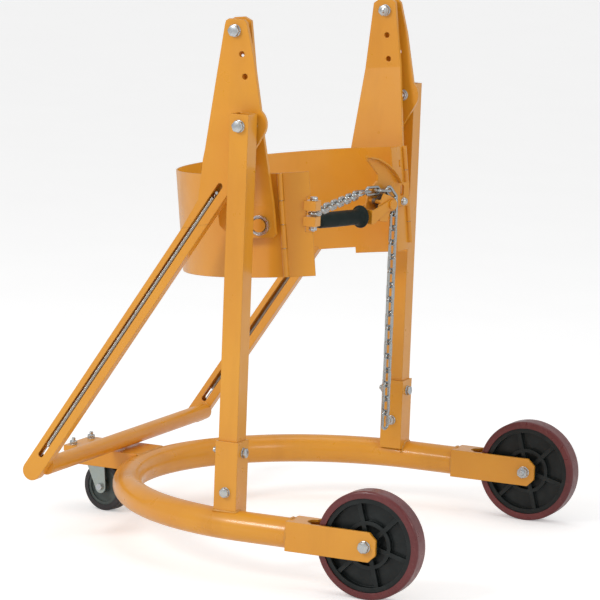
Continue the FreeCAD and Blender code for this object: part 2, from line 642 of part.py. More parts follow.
def trunnion_ring():
    """Collar on the trunnion's end, recessed round the pin."""
    z = -TRUNNION_DOWN
    start, end = HANGER_LOW_OUT + 0.3, HANGER_LOW_OUT + 7.0
    collar = tube(V(0, start, z), V(0, end, z), TRUNNION_RING_R, TRUNNION_R + SNUG)
    return hang(collar.cut(rod(V(0, start + 1.5, z), V(0, end + 1, z), TRUNNION_R + 2.5)))


# ---- chain clevis, on the near flap ------------------------------------------------------------

def chain_clevis():
    """Two thick ears welded over the near flap's notched edge, which hold the chain's bolt."""
    ears = []
    for low, top in ((-CLEVIS_EAR, -CLEVIS_GAP), (CLEVIS_GAP, CLEVIS_EAR)):
        ears.append(box(CLEVIS.x - 15, CLEVIS.x + 10, CLEVIS.y - 13, CLEVIS.y + 11,
                        CLEVIS.z + low, CLEVIS.z + top))
    bolt_hole = rod(CLEVIS + V(0, 0, -40), CLEVIS + V(0, 0, 40), CLEVIS_BOLT_R + RUN_GAP)
    return cut(group(ears), [near_flap_panel(), bolt_hole])


def clevis_bolt():
    shank = bolt(CLEVIS + V(0, 0, CLEVIS_EAR), CLEVIS + V(0, 0, -CLEVIS_EAR - 9), CLEVIS_BOLT_R)
    lock = nut(CLEVIS + V(0, 0, -CLEVIS_EAR), V(0, 0, -1), CLEVIS_BOLT_R)
    return group([shank, lock])


# ---- ratchet, on the far flap: local frame with the pin at the origin, X towards the flap -------

def ratchet_holes():
    spot = V(LINK_BOLT_X, 0, LINK_BOLT_Z)
    return [rod(V(0, -40, 0), V(0, 40, 0), RATCHET_PIN_R + SNUG),
            rod(spot + V(0, -40, 0), spot + V(0, 60, 0), LINK_BOLT_R + SNUG)]


def guard_curve(grow):
    """Outer edge of the guard, from its horn's tip down to the tail, grown outwards by a few mm."""
    return [(-42, 92 + grow), (-18, 87 + grow), (6, 76 + grow), (24, 65 + grow), (38 + grow, 52),
            (50 + grow, 36)]


def ratchet_frame():
    """Horned back plate with a lip round its guard, a front cheek, and a slotted tail to the flap."""
    body = [(54, -12), (44, -26), (12, -32), (-40, -30), (-44, -18), (-36, 12), (-19, 36), (-8, 44),
            (-9, 56), (-24, 72), (-40, 86)]
    back = upright_plate(guard_curve(0) + body, CHEEK_IN, CHEEK_OUT)
    lip = upright_plate(guard_curve(0) + guard_curve(3)[::-1], 2, CHEEK_OUT)
    cheek = ([(-34, -2), (-20, 22), (-6, 18)] + arc_points(0, 0, 14, 60, -100, 8) +
             [(-10, -34), (-32, -32)])
    front = upright_plate(cheek, -CHEEK_OUT, -CHEEK_IN)
    tail = box(40, 83, CHEEK_IN, CHEEK_OUT, -12, 36)
    slot = fuse([box(58, 68, 0, 30, 14, 27)] + [rod(V(63, 0, z), V(63, 30, z), 5) for z in (14, 27)])
    stays = [rod(V(-24, -CHEEK_OUT, -24), V(-24, CHEEK_OUT, -24), 5),
             rod(V(PAWL_X, -CHEEK_OUT, PAWL_Z), V(PAWL_X, CHEEK_OUT, PAWL_Z), PAWL_PIN_R)]
    shape = fuse([back, lip, front, tail] + stays)
    return in_ratchet(cut(shape, ratchet_holes() + [slot]))


def ratchet_sprocket():
    """Pocket wheel that carries the chain over the pin."""
    disc = rod(V(0, -11, 0), V(0, 11, 0), SPROCKET_R)
    groove = tube(V(0, -4.2, 0), V(0, 4.2, 0), SPROCKET_R + 1, GROOVE_R)
    bore = rod(V(0, -12, 0), V(0, 12, 0), RATCHET_PIN_R + SNUG)
    return in_ratchet(cut(disc, [groove, bore]))


def ratchet_pin():
    shank = rod(V(0, -21.5, 0), V(0, 21.5, 0), RATCHET_PIN_R)
    head = rod(V(0, -25, 0), V(0, -21.5, 0), 10.0)
    return in_ratchet(fuse([shank, head]))


def link_bolt():
    """Bolt through the ratchet's tail and the flap's pads."""
    spot = V(LINK_BOLT_X, 0, LINK_BOLT_Z)
    shank = bolt(spot + V(0, CHEEK_IN, 0), spot + V(0, FLAP_PAD_BACK + 9, 0), LINK_BOLT_R)
    lock = nut(spot + V(0, FLAP_PAD_BACK, 0), Y_AXIS, LINK_BOLT_R)
    return in_ratchet(group([shank, lock]))


def flap_pads():
    """Wedges welded to both faces of the flap, square to the bolt that holds the ratchet's tail."""
    block = box(LINK_BOLT_X - 10, LINK_BOLT_X + 11, CHEEK_OUT, FLAP_PAD_BACK, -12, 12)
    hole = rod(V(LINK_BOLT_X, 0, LINK_BOLT_Z), V(LINK_BOLT_X, 60, LINK_BOLT_Z), LINK_BOLT_R + SNUG)
    return in_ratchet(block.cut(hole)).cut(far_flap_panel())


def flap_hole():
    start, end = V(LINK_BOLT_X, 0, LINK_BOLT_Z), V(LINK_BOLT_X, 60, LINK_BOLT_Z)
    return in_ratchet(rod(start, end, LINK_BOLT_R + SNUG))


def pawl():
    """Pawl on the upper stay, its tooth in the groove of the pocket wheel."""
    eye = rod(V(PAWL_X, -3.5, PAWL_Z), V(PAWL_X, 3.5, PAWL_Z), 6.5)
    tooth = upright_plate([(-28, 12), (-20, 9.5), (-13.8, 4.0), (-21, 0), (-28, 0)], -3.5, 3.5)
    bore = rod(V(PAWL_X, -4, PAWL_Z), V(PAWL_X, 4, PAWL_Z), PAWL_PIN_R + RUN_GAP)
    return in_ratchet(fuse([eye, tooth]).cut(bore))


def handle_bar():
    """Fork round the ratchet's frame, a bridge behind it and the core of the grip."""
    fork_in, fork_out, bridge_x = 18.5, 21.0, 52.0
    outline = [(-bridge_x, -HANDLE_DROP - 14), (-6, -10), (8, -8), (8, 9), (-6, 10),
               (-bridge_x, -HANDLE_DROP + 14)]
    plates = [upright_plate(outline, s * fork_in, s * fork_out) for s in (-1, 1)]
    bridge = box(-bridge_x - 6, -bridge_x, -fork_out, fork_out, -HANDLE_DROP - 14, -HANDLE_DROP + 14)
    core = rod(V(-bridge_x, 0, -HANDLE_DROP), V(4 - GRIP_END, 0, -HANDLE_DROP), HANDLE_CORE_R)
    bore = rod(V(0, -40, 0), V(0, 40, 0), RATCHET_PIN_R + RUN_GAP)
    return in_ratchet(fuse(plates + [bridge, core]).cut(bore))


def handle_grip():
    flange = rod(V(-GRIP_START, 0, -HANDLE_DROP), V(-GRIP_START - 8, 0, -HANDLE_DROP), GRIP_FLANGE_R)
    sleeve = rod(V(-GRIP_START, 0, -HANDLE_DROP), V(-GRIP_END, 0, -HANDLE_DROP), GRIP_R)
    core = rod(V(-GRIP_START, 0, -HANDLE_DROP), V(4 - GRIP_END, 0, -HANDLE_DROP), HANDLE_CORE_R)
    return in_ratchet(fuse([flange, sleeve]).cut(core))


# ---- chain ------------------------------------------------------------------------------------

def chain_link():
    """One welded link about the origin, along X, its flat in the XY plane."""
    crown = LINK_HALF_W
    half = (PITCH + LINK_SLACK) / 2 + WIRE_R - crown
    ends = []
    for s, start in ((1, -90), (-1, 90)):
        ring = Part.makeTorus(crown, WIRE_R, V(s * half, 0, 0), Z_AXIS, -180, 180, 180)
        ring.rotate(V(s * half, 0, 0), Z_AXIS, start)
        ends.append(ring)
    sides = [rod(V(-half, s * crown, 0), V(half, s * crown, 0), WIRE_R) for s in (-1, 1)]
    return fuse(ends + sides)


def place_link(link, start, end, roll):
    """The link between two points of the chain's line; roll 0 lays its flat level."""
    copy = link.copy()
    copy.rotate(V(0, 0, 0), X_AXIS, roll)
    direction = end - start
    side = Z_AXIS.cross(direction)
    if side.Length < 1e-6:
        side = FreeCAD.Rotation(Z_AXIS, RATCHET_TURN).multVec(Y_AXIS)
    turn = FreeCAD.Rotation(direction, side, V(0, 0, 0), "XYZ")
    copy.Placement = FreeCAD.Placement((start + end) * 0.5, turn).multiply(copy.Placement)
    return copy


# Links hang in one another alternately: where a link's end round is centred on the next link's wire,
# the pair can bend freely. Along the chain's line those points are a short and a long step apart.
CROWN_STEP = PITCH + LINK_SLACK + 2 * WIRE_R - 2 * LINK_HALF_W
WIRE_STEP = 2 * PITCH - CROWN_STEP


def straight_chain(start, direction, count, crown_first):
    points = [start]
    for index in range(count):
        crown = (index % 2 == 0) == crown_first
        points.append(points[-1] + direction * (CROWN_STEP if crown else WIRE_STEP))
    return points


def linked(points, first_roll):
    link = chain_link()
    return group([place_link(link, points[i], points[i + 1], first_roll + 90 * i)
                  for i in range(len(points) - 1)])


def ratchet_point(x, z):
    turn = FreeCAD.Rotation(Z_AXIS, RATCHET_TURN)
    return RATCHET + turn.multVec(V(x, 0, z))


def chain_run():
    """Links from the clevis bolt towards the ratchet, ending just short of the first link on it."""
    direction = ratchet_point(-RUN_STOP, WRAP_R) - CLEVIS
    direction.normalize()
    return linked(straight_chain(CLEVIS, direction, RUN_LINKS, True), 0)


def wrap_path(s):
    """Chain line on the ratchet: level along the top, a quarter turn, then straight down."""
    quarter = WRAP_R * math.pi / 2
    if s < 0:
        return ratchet_point(s, WRAP_R)
    if s < quarter:
        return ratchet_point(WRAP_R * math.sin(s / WRAP_R), WRAP_R * math.cos(s / WRAP_R))
    return ratchet_point(WRAP_R, quarter - s)


def wrap_points():
    s = WRAP_R * math.pi / 8
    points = [wrap_path(s)]
    back = s
    for step in (WIRE_STEP, CROWN_STEP, WIRE_STEP):
        while (wrap_path(back) - points[0]).Length < step:
            back -= 0.01
        points.insert(0, wrap_path(back))
    for step in (CROWN_STEP, WIRE_STEP, CROWN_STEP):
        while (wrap_path(s) - points[-1]).Length < step:
            s += 0.01
        points.append(wrap_path(s))
    return points


def chain_wrap():
    """Links held by the ratchet: along the top, round the pocket wheel and down to the tail."""
    return linked(wrap_points(), 0)


def chain_tail():
    """Loose end of the chain, hanging from the last link on the ratchet."""
    return linked(straight_chain(wrap_points()[-1], V(0, 0, -1), TAIL_LINKS, False), 0)


# ---- writing ----------------------------------------------------------------------------------

def write(name, shape):
    solids = shape.Solids
    moved = Part.makeCompound([solid.copy() for solid in solids]) if len(solids) > 1 else solids[0].copy()
    moved.translate(V(X_SHIFT, 0, 0))
    problem = "" if moved.isValid() else "  INVALID"
    print("%-22s %3d solid(s) %10.0f mm3%s" % (name, len(solids), sum(s.Volume for s in solids), problem))
    moved.exportStep("parts/%s.step" % name)


def main():
    os.makedirs("parts", exist_ok=True)
    write("base_ring", base_ring())
    write("caster_bracket", caster_bracket())
    write("caster_plate", caster_plate())
    write("caster_bolts", caster_bolts())
    write("caster_fork", caster_fork())
    write("caster_axle", caster_axle())
    write("caster_wheel_core", caster_wheel_core())
    write("caster_tyre", caster_tyre())
    write("cross_tube", cross_tube())
    for name, side in SIDES:
        write("wheel_fork_" + name, for_side(wheel_fork(), side))
        write("socket_" + name, for_side(socket(name), side))
        write("upright_" + name, for_side(post(name), side))
        write("wheel_hub_" + name, for_side(wheel_hub(), side))
        write("wheel_tread_" + name, for_side(wheel_tread(), side))
        write("wheel_bushing_" + name, for_side(wheel_bushing(), side))
        write("lever_plate_" + name, for_side(lever_plate(), side))
        write("lever_arm_" + name, for_side(lever_arm(), side))
        write("arm_spring_" + name, for_side(arm_spring(), side))
        write("hanger_" + name, for_side(hang(hanger()), side))
    pairs = (("wheel_axles", axle_set), ("pivot_bolts", pivot_bolt), ("pivot_nuts", pivot_nut),
             ("hanger_bolts", top_bolt), ("hanger_nuts", top_nut), ("spring_pegs", spring_pegs),
             ("trunnions", trunnion), ("trunnion_rings", trunnion_ring))
    for name, maker in pairs:
        write(name, group([for_side(maker(), side) for _, side in SIDES]))
    write("socket_bolts", group([for_side(socket_bolts(name), side) for name, side in SIDES]))
    write("holder_band", holder_band())
    write("hinge_pins", group([hang(hinge_pin(NEAR_HINGE_DEG)), hang(hinge_pin(FAR_HINGE_DEG))]))
    write("near_flap", near_flap_panel())
    write("far_flap", far_flap_panel().cut(flap_hole()))
    write("chain_clevis", chain_clevis())
    write("clevis_bolt", clevis_bolt())
    write("ratchet_frame", ratchet_frame())
    write("ratchet_sprocket", ratchet_sprocket())
    write("ratchet_pin", ratchet_pin())
    write("ratchet_pawl", pawl())
    write("flap_pads", flap_pads())
    write("link_bolt", link_bolt())
    write("handle_bar", handle_bar())
    write("handle_grip", handle_grip())
    write("chain_run", chain_run())
    write("chain_wrap", chain_wrap())
    write("chain_tail", chain_tail())


main()
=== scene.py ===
import json
import math
import random

import bpy
from mathutils import Matrix, Vector


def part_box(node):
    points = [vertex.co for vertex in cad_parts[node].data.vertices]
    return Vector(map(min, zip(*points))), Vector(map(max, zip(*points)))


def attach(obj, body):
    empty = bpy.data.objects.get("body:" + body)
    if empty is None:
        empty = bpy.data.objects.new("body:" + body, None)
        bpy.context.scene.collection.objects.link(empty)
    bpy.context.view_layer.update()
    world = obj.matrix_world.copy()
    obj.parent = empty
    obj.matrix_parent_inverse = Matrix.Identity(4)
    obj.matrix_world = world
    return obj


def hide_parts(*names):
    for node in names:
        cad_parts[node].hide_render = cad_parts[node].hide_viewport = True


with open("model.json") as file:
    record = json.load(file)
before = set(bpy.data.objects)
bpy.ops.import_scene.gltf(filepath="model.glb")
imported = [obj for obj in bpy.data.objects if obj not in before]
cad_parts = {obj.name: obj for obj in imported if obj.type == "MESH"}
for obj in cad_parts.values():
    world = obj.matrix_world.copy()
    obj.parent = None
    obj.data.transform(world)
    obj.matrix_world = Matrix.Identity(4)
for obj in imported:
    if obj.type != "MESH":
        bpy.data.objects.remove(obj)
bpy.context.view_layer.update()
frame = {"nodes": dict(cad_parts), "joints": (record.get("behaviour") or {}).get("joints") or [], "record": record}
scene = bpy.context.scene
random.seed(7)

# Metres, in the frame of the CAD model: +X forward, -Y the near side, +Z up, floor at z = 0.
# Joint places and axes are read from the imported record, so they follow the CAD.
JOINTS = {joint["name"]: joint for joint in frame["joints"]}
NEAR, FAR = -1, 1
LEVER_PIVOT = Vector(JOINTS["lever_lift"]["pos_m"])
HANGER_PIVOT = Vector(JOINTS["hanger_swing"]["pos_m"])
RATCHET_PIN = Vector(JOINTS["ratchet_handle"]["pos_m"])
RATCHET_AXIS = Vector(JOINTS["ratchet_handle"]["axis"]).normalized()
RATCHET_TURN = math.radians(70)
RATCHET_OUTWARD = Vector((math.cos(RATCHET_TURN), math.sin(RATCHET_TURN), 0))


# ---- camera, floor and light -------------------------------------------------------------------

AZIMUTH, ELEVATION, ROLL, LENS, SENSOR = 24.34, 8.98, 2.17, 214.4, 36.0
CLIP_NEAR, CLIP_FAR = 0.5, 60.0
CAMERA_PLACE = Vector((2.868, -6.296, 1.561))
LAMPS = (("key", (-1.6, -3.4, 2.8), (0, 0, 0.5), 1.2, 58),
         ("side", (3.4, -1.2, 1.9), (0, 0, 0.5), 1.4, 16),
         ("top", (0.2, 0.6, 3.4), (0, 0, 0.4), 2.0, 12))
FILL_STRENGTH, BACKDROP_STRENGTH, FLOOR_GLOW, FLOOR_REACH = 0.60, 0.98, 0.32, 30.0


def add_camera():
    """Long lens at the viewing angle wanted, rolled a little."""
    azimuth, elevation, roll = math.radians(AZIMUTH), math.radians(ELEVATION), math.radians(ROLL)
    back = Vector((math.sin(azimuth) * math.cos(elevation), -math.cos(azimuth) * math.cos(elevation),
                   math.sin(elevation)))
    level = Vector((math.cos(azimuth), math.sin(azimuth), 0))
    upright = back.cross(level)
    right = level * math.cos(roll) + upright * math.sin(roll)
    up = upright * math.cos(roll) - level * math.sin(roll)
    data = bpy.data.cameras.new("camera")
    data.lens, data.sensor_width = LENS, SENSOR
    data.clip_start, data.clip_end = CLIP_NEAR, CLIP_FAR
    camera = bpy.data.objects.new("camera", data)
    turn = Matrix((right, up, back)).transposed().to_4x4()
    camera.matrix_world = Matrix.Translation(CAMERA_PLACE) @ turn
    scene.collection.objects.link(camera)
    scene.camera = camera


def add_light(name, place, target, size, power):
    data = bpy.data.lights.new(name, "AREA")
    data.shape, data.size, data.energy = "DISK", size, power
    lamp = bpy.data.objects.new(name, data)
    lamp.location = place
    lamp.rotation_euler = (Vector(target) - Vector(place)).to_track_quat("-Z", "Y").to_euler()
    scene.collection.objects.link(lamp)


def add_studio():
    """White studio: soft fill from all round, a white backdrop, three lamps and a pale floor."""
    world = bpy.data.worlds.new("studio")
    scene.world = world
    world.use_nodes = True
    tree = world.node_tree
    fill = tree.nodes["Background"]
    fill.inputs["Color"].default_value = (1.0, 1.0, 1.0, 1.0)
    fill.inputs["Strength"].default_value = FILL_STRENGTH
    seen = tree.nodes.new("ShaderNodeBackground")
    seen.inputs["Color"].default_value = (1.0, 1.0, 1.0, 1.0)
    seen.inputs["Strength"].default_value = BACKDROP_STRENGTH
    path, choice = tree.nodes.new("ShaderNodeLightPath"), tree.nodes.new("ShaderNodeMixShader")
    tree.links.new(path.outputs["Is Camera Ray"], choice.inputs[0])
    tree.links.new(fill.outputs[0], choice.inputs[1])
    tree.links.new(seen.outputs[0], choice.inputs[2])
    tree.links.new(choice.outputs[0], tree.nodes["World Output"].inputs["Surface"])
    for lamp in LAMPS:
        add_light(*lamp)
    scene.view_settings.exposure = 0.0
    scene.view_settings.view_transform = "Standard"
    mesh = bpy.data.meshes.new("floor")
    corners = [(x * FLOOR_REACH, y * FLOOR_REACH, 0) for x, y in ((-1, -1), (1, -1), (1, 1), (-1, 1))]
    mesh.from_pydata(corners, [], [(0, 1, 2, 3)])
    floor = bpy.data.objects.new("floor", mesh)
    scene.collection.objects.link(floor)
    floor.data.materials.append(floor_material())


# ---- material helpers --------------------------------------------------------------------------

class Shader:
    """A node material under construction: short calls for the nodes that these materials use."""

    def __init__(self, name):
        self.material = bpy.data.materials.new(name)
        self.material.use_nodes = True
        self.tree = self.material.node_tree
        self.skin = self.tree.nodes["Principled BSDF"]
        self.place = self.node("ShaderNodeTexCoord").outputs["Object"]

    def node(self, kind, **settings):
        made = self.tree.nodes.new(kind)
        for key, value in settings.items():
            setattr(made, key, value)
        return made

    def link(self, source, target):
        self.tree.links.new(source, target)

    def set(self, **values):
        for key, value in values.items():
            socket = key.replace("_", " ").title().replace("Ior", "IOR")
            self.skin.inputs[socket].default_value = value

    def noise(self, scale, detail=3.0, roughness=0.55, stretch=None):
        texture = self.node("ShaderNodeTexNoise")
        texture.inputs["Scale"].default_value = scale
        texture.inputs["Detail"].default_value = detail
        texture.inputs["Roughness"].default_value = roughness
        source = self.place
        if stretch:
            mapping = self.node("ShaderNodeMapping")
            mapping.inputs["Scale"].default_value = stretch
            self.link(self.place, mapping.inputs["Vector"])
            source = mapping.outputs["Vector"]
        self.link(source, texture.inputs["Vector"])
        return texture.outputs["Fac"]

    def voronoi(self, scale):
        texture = self.node("ShaderNodeTexVoronoi", feature="F1")
        texture.inputs["Scale"].default_value = scale
        self.link(self.place, texture.inputs["Vector"])
        return texture.outputs["Distance"]

    def span(self, value, low, high, to_low, to_high):
        made = self.node("ShaderNodeMapRange")
        for key, number in (("From Min", low), ("From Max", high), ("To Min", to_low), ("To Max", to_high)):
            made.inputs[key].default_value = number
        self.link(value, made.inputs["Value"])
        return made.outputs["Result"]

    def math(self, operation, first, second):
        made = self.node("ShaderNodeMath", operation=operation)
        for index, value in enumerate((first, second)):
            if isinstance(value, (int, float)):
                made.inputs[index].default_value = value
            else:
                self.link(value, made.inputs[index])
        return made.outputs[0]

    def mix(self, factor, first, second):
        made = self.node("ShaderNodeMix", data_type="RGBA")
        self.link(factor, made.inputs[0])
        for index, value in ((6, first), (7, second)):    # the node's colour sockets A and B
            if isinstance(value, tuple):
                made.inputs[index].default_value = (*value, 1)
            else:
                self.link(value, made.inputs[index])
        return made.outputs[2]

    def edges(self, radius):
        """Near 1 on convex and concave edges, 0 on flats: how far a rounded normal leaves the true one."""
        rounded = self.node("ShaderNodeBevel", samples=4)
        rounded.inputs["Radius"].default_value = radius
        true = self.node("ShaderNodeNewGeometry").outputs["Normal"]
        dot = self.node("ShaderNodeVectorMath", operation="DOT_PRODUCT")
        self.link(rounded.outputs["Normal"], dot.inputs[0])
        self.link(true, dot.inputs[1])
        return self.span(dot.outputs["Value"], 0.98, 0.80, 0.0, 1.0), rounded.outputs["Normal"]

    def bump(self, height, strength, distance, normal=None):
        made = self.node("ShaderNodeBump")
        made.inputs["Strength"].default_value = strength
        made.inputs["Distance"].default_value = distance
        self.link(height, made.inputs["Height"])
        if normal is not None:
            self.link(normal, made.inputs["Normal"])
        return made.outputs["Normal"]

    def finish(self, colour, roughness=None, normal=None):
        for key, value in (("Base Color", colour), ("Roughness", roughness), ("Normal", normal)):
            if value is not None:
                self.link(value, self.skin.inputs[key])
        return self.material


# ---- materials ---------------------------------------------------------------------------------

def floor_material():
    """Near-white paper floor; to the camera alone it also glows a little, so that it stays pale."""
    shader = Shader("studio_floor")
    shader.set(roughness=0.9, emission_color=(1.0, 1.0, 1.0, 1.0))
    seen = shader.node("ShaderNodeLightPath").outputs["Is Camera Ray"]
    shader.link(shader.math("MULTIPLY", seen, FLOOR_GLOW), shader.skin.inputs["Emission Strength"])
    colour = shader.mix(shader.noise(3.0), (0.93, 0.93, 0.93), (0.97, 0.97, 0.97))
    return shader.finish(colour)


def orange_paint(name, light, deep, coat=0.35):
    """Gloss enamel on steel: slow tone drift, orange peel, dust, paler worn edges with small chips."""
    shader = Shader(name)
    shader.set(coat_weight=coat, coat_roughness=0.12, ior=1.5)
    tone = shader.span(shader.noise(4.0, 4.0), 0.3, 0.7, 0.0, 1.0)
    base = shader.mix(tone, deep, light)
    streak = shader.span(shader.noise(9.0, 5.0, 0.6, (1, 1, 0.18)), 0.56, 0.78, 0.0, 0.35)
    base = shader.mix(streak, base, (deep[0] * 0.72, deep[1] * 0.66, deep[2] * 0.6))
    edge, rounded = shader.edges(0.0022)
    worn = shader.span(shader.noise(60.0, 6.0, 0.7), 0.42, 0.66, 0.0, 0.55)
    pale = (min(1.0, light[0] * 1.1), light[1] * 1.35, light[2] * 2.6)
    base = shader.mix(shader.math("MULTIPLY", edge, worn), base, pale)
    chipped = shader.span(shader.noise(170.0, 4.0, 0.6), 0.66, 0.70, 0.0, 0.8)
    base = shader.mix(shader.math("MULTIPLY", edge, chipped), base, (0.16, 0.10, 0.07))
    rough = shader.span(shader.noise(25.0, 5.0), 0.3, 0.7, 0.26, 0.42)
    fine = shader.noise(420.0, 2.0)
    peel = shader.math("ADD", fine, shader.math("MULTIPLY", shader.noise(90.0, 2.0), 1.6))
    return shader.finish(base, rough, shader.bump(peel, 0.10, 0.0006, rounded))


def zinc(name, tint, rough_low, rough_high, warm=(0.80, 0.70, 0.48), warm_share=0.35):
    """Bright zinc plate: grain, cloudy passivation with a little yellow, and edges and corners painted towards
    near white as a painted highlight.
    """
    shader = Shader(name)
    shader.set(metallic=1.0)
    cloud = shader.span(shader.noise(70.0, 5.0), 0.35, 0.7, 0.0, warm_share)
    base = shader.mix(cloud, tint, warm)
    edge, rounded = shader.edges(0.0009)
    # painted highlight: the edge mask mixes the colour half way to near white, a glint painted on every edge and
    # corner
    base = shader.mix(shader.math("MULTIPLY", edge, 0.5), base, (0.92, 0.93, 0.95))
    rough = shader.span(shader.noise(220.0, 4.0), 0.3, 0.7, rough_low, rough_high)
    grain = shader.noise(900.0, 3.0, 0.6, (1, 1, 0.25))
    return shader.finish(base, rough, shader.bump(grain, 0.12, 0.0003, rounded))


def dark_steel():
    """Oiled bare steel, blotchy from brown-black to grey."""
    shader = Shader("dark_steel")
    shader.set(metallic=1.0)
    blotch = shader.span(shader.noise(90.0, 5.0), 0.35, 0.7, 0, 1)
    base = shader.mix(blotch, (0.20, 0.19, 0.18), (0.34, 0.31, 0.28))
    rough = shader.span(shader.noise(160.0), 0.3, 0.7, 0.35, 0.6)
    return shader.finish(base, rough, shader.bump(shader.noise(600.0), 0.2, 0.0003))


def black_casting():
    """Black enamel over a cast centre: grainy skin, grey dust in the hollows, worn rib edges."""
    shader = Shader("black_casting")
    shader.set(coat_weight=0.10, coat_roughness=0.2, specular_ior_level=0.3)
    dust = shader.span(shader.noise(40.0, 5.0), 0.45, 0.75, 0.0, 0.5)
    base = shader.mix(dust, (0.006, 0.009, 0.009), (0.026, 0.032, 0.032))
    edge, rounded = shader.edges(0.0016)
    base = shader.mix(shader.math("MULTIPLY", edge, 0.35), base, (0.07, 0.085, 0.085))
    rough = shader.span(shader.noise(55.0, 4.0), 0.3, 0.7, 0.30, 0.52)
    grit = shader.math("MULTIPLY", shader.voronoi(520.0), 0.5)
    cast = shader.math("ADD", shader.noise(320.0, 3.0), grit)
    return shader.finish(base, rough, shader.bump(cast, 0.30, 0.0006, rounded))


def maroon_tread():
    """Cast polyurethane: deep maroon, slightly see-through at the rim, scuffed on the running face."""
    shader = Shader("maroon_tread")
    shader.set(coat_weight=0.2, coat_roughness=0.25, subsurface_weight=0.08, subsurface_scale=0.004)
    shader.skin.inputs["Subsurface Radius"].default_value = (1.0, 0.25, 0.2)
    tone = shader.span(shader.noise(14.0, 4.0), 0.3, 0.7, 0, 1)
    base = shader.mix(tone, (0.105, 0.012, 0.014), (0.165, 0.024, 0.024))
    scuff = shader.span(shader.noise(130.0, 5.0, 0.7), 0.55, 0.8, 0.0, 0.5)
    base = shader.mix(scuff, base, (0.24, 0.085, 0.075))
    edge, rounded = shader.edges(0.002)
    rough = shader.span(shader.noise(80.0, 4.0), 0.3, 0.7, 0.24, 0.46)
    return shader.finish(base, rough, shader.bump(shader.noise(260.0, 4.0), 0.12, 0.0005, rounded))


def caster_plastic(name, low, high):
    """Satin moulding, mottled between two tones, with paler edges."""
    shader = Shader(name)
    base = shader.mix(shader.span(shader.noise(60.0, 5.0), 0.35, 0.7, 0, 1), low, high)
    edge, rounded = shader.edges(0.0012)
    pale = tuple(min(1.0, c * 1.5) for c in high)
    base = shader.mix(shader.math("MULTIPLY", edge, 0.3), base, pale)
    rough = shader.span(shader.noise(120.0, 4.0), 0.3, 0.7, 0.34, 0.55)
    return shader.finish(base, rough, shader.bump(shader.noise(500.0, 3.0), 0.15, 0.0003, rounded))


def black_grip():
    """Moulded black rubber with a fine matt skin, a very dark bluish green."""
    shader = Shader("black_grip")
    shader.set(specular_ior_level=0.22)
    base = shader.mix(shader.span(shader.noise(45.0, 4.0), 0.35, 0.7, 0, 1),
                      (0.004, 0.010, 0.009), (0.008, 0.018, 0.016))
    rough = shader.span(shader.noise(90.0, 4.0), 0.3, 0.7, 0.40, 0.6)
    return shader.finish(base, rough, shader.bump(shader.noise(1100.0, 3.0), 0.25, 0.0003))


def weld_paint():
    """The same enamel, thicker and glossier over weld beads."""
    return orange_paint("weld_paint", (0.74, 0.335, 0.026), (0.62, 0.25, 0.018), 0.5)


def make_materials():
    """One material for each slot of the record, and one more for the weld beads."""
    return {
        "orange_paint": orange_paint("orange_enamel", (0.80, 0.350, 0.022), (0.73, 0.290, 0.016)),
        "zinc_hardware": zinc("zinc_hardware", (0.52, 0.56, 0.60), 0.20, 0.38),
        "caster_zinc": zinc("caster_zinc", (0.42, 0.48, 0.46), 0.28, 0.46, (0.46, 0.46, 0.36), 0.3),
        "chain_zinc": zinc("chain_zinc", (0.44, 0.47, 0.48), 0.14, 0.30, (0.50, 0.46, 0.36), 0.25),
        "spring_steel": zinc("spring_steel", (0.62, 0.62, 0.58), 0.26, 0.42, (0.55, 0.52, 0.44), 0.3),
        "dark_steel": dark_steel(),
        "black_casting": black_casting(),
        "maroon_tread": maroon_tread(),
        "caster_core": caster_plastic("caster_core", (0.045, 0.060, 0.056), (0.085, 0.105, 0.098)),
        "caster_tread": caster_plastic("caster_tread", (0.014, 0.013, 0.015), (0.040, 0.034, 0.038)),
        "black_grip": black_grip(),
        "weld": weld_paint(),
    }


def dress_cad(materials):
    """Gives every CAD node the material of its slot in the record."""
    slots = {part["node"]: part["material_slot"] for part in frame["record"]["subparts"]}
    for node, piece in frame["nodes"].items():
        for index in range(max(1, len(piece.material_slots))):
            if not piece.material_slots:
                piece.data.materials.append(materials[slots[node]])
            else:
                piece.material_slots[index].material = materials[slots[node]]


# ---- mesh helpers ------------------------------------------------------------------------------

def add_mesh(name, verts, faces, material, slot, body):
    mesh = bpy.data.meshes.new(name)
    mesh.from_pydata([tuple(v) for v in verts], [], faces)
    mesh.validate()
    piece = bpy.data.objects.new(name, mesh)
    scene.collection.objects.link(piece)
    for face in mesh.polygons:
        face.use_smooth = True
    mesh.materials.append(material)
    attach(piece, body)
    return piece


def tube_mesh(path, radii, sides, closed):
    """Vertices and faces of a round tube along a path, its radius given point by point."""
    count = len(path)
    verts, faces = [], []
    normal = None
    for index, point in enumerate(path):
        before = path[index - 1] if index or closed else path[index]
        after = path[(index + 1) % count] if index < count - 1 or closed else path[index]
        along = (after - before).normalized()
        if normal is None:
            normal = along.orthogonal().normalized()
        normal = (normal - along * normal.dot(along)).normalized()
        side = along.cross(normal)
        for turn in range(sides):
            angle = 2 * math.pi * turn / sides
            verts.append(point + (normal * math.cos(angle) + side * math.sin(angle)) * radii[index])
    loops = count if closed else count - 1
    for index in range(loops):
        for turn in range(sides):
            one, two = index * sides, ((index + 1) % count) * sides
            after = (turn + 1) % sides
            faces.append((one + turn, one + after, two + after, two + turn))
    if not closed:
        faces.append(tuple(reversed(range(sides))))
        faces.append(tuple(range((count - 1) * sides, count * sides)))
    return verts, faces


def join_meshes(parts):
    verts, faces = [], []
    for part_verts, part_faces in parts:
        offset = len(verts)
        verts.extend(part_verts)
        faces.extend(tuple(i + offset for i in face) for face in part_faces)
    return verts, faces


